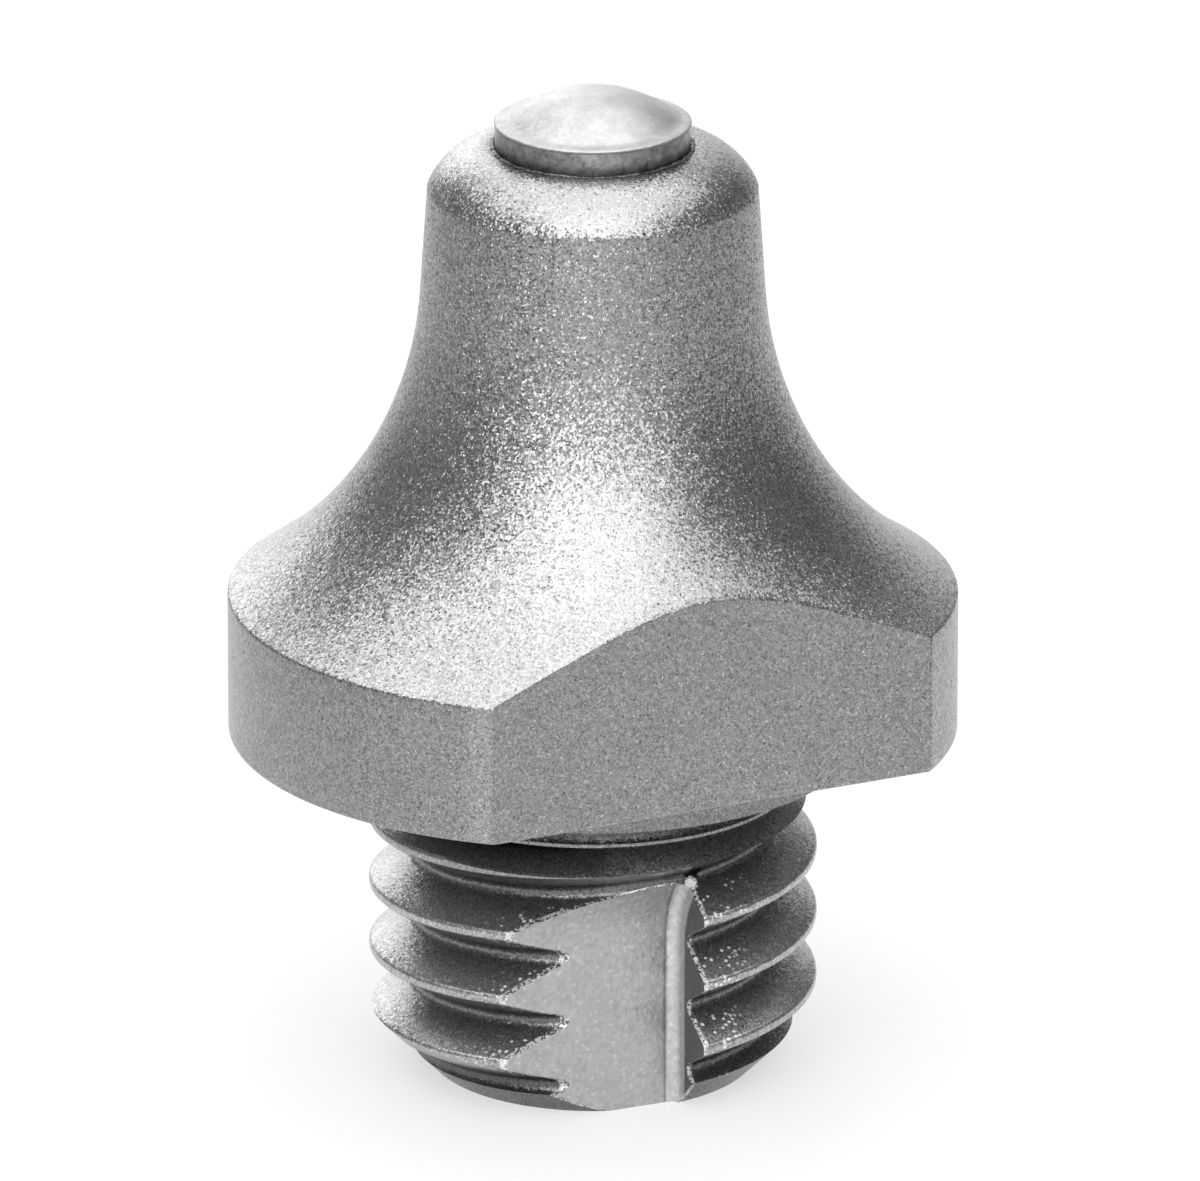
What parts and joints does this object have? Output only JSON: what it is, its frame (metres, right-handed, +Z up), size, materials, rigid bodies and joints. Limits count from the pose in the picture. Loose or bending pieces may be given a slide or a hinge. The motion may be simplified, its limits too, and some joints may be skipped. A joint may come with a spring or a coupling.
{
  "type": "screw-in ice stud",
  "caption": "Turned steel stud with a right-hand thread and flute, a wrench flange flaring into a neck, and a domed hard pin brazed in its top to grip ice.",
  "frame": {"origin": "centre of the thread's flat end face, on the axis", "axes": "+Z runs up the axis from the thread to the pin; the two wrench flats face -Y and +Y"},
  "size_m": [0.016, 0.012, 0.0223],
  "materials": {
    "steel": "bead-blasted, zinc plated, fine sparkling grain",
    "carbide": "sintered tungsten carbide, mottled satin"
  },
  "bodies": {
    "root": {"stud_body": "steel", "carbide_pin": "carbide"}
  },
  "joints": []
}
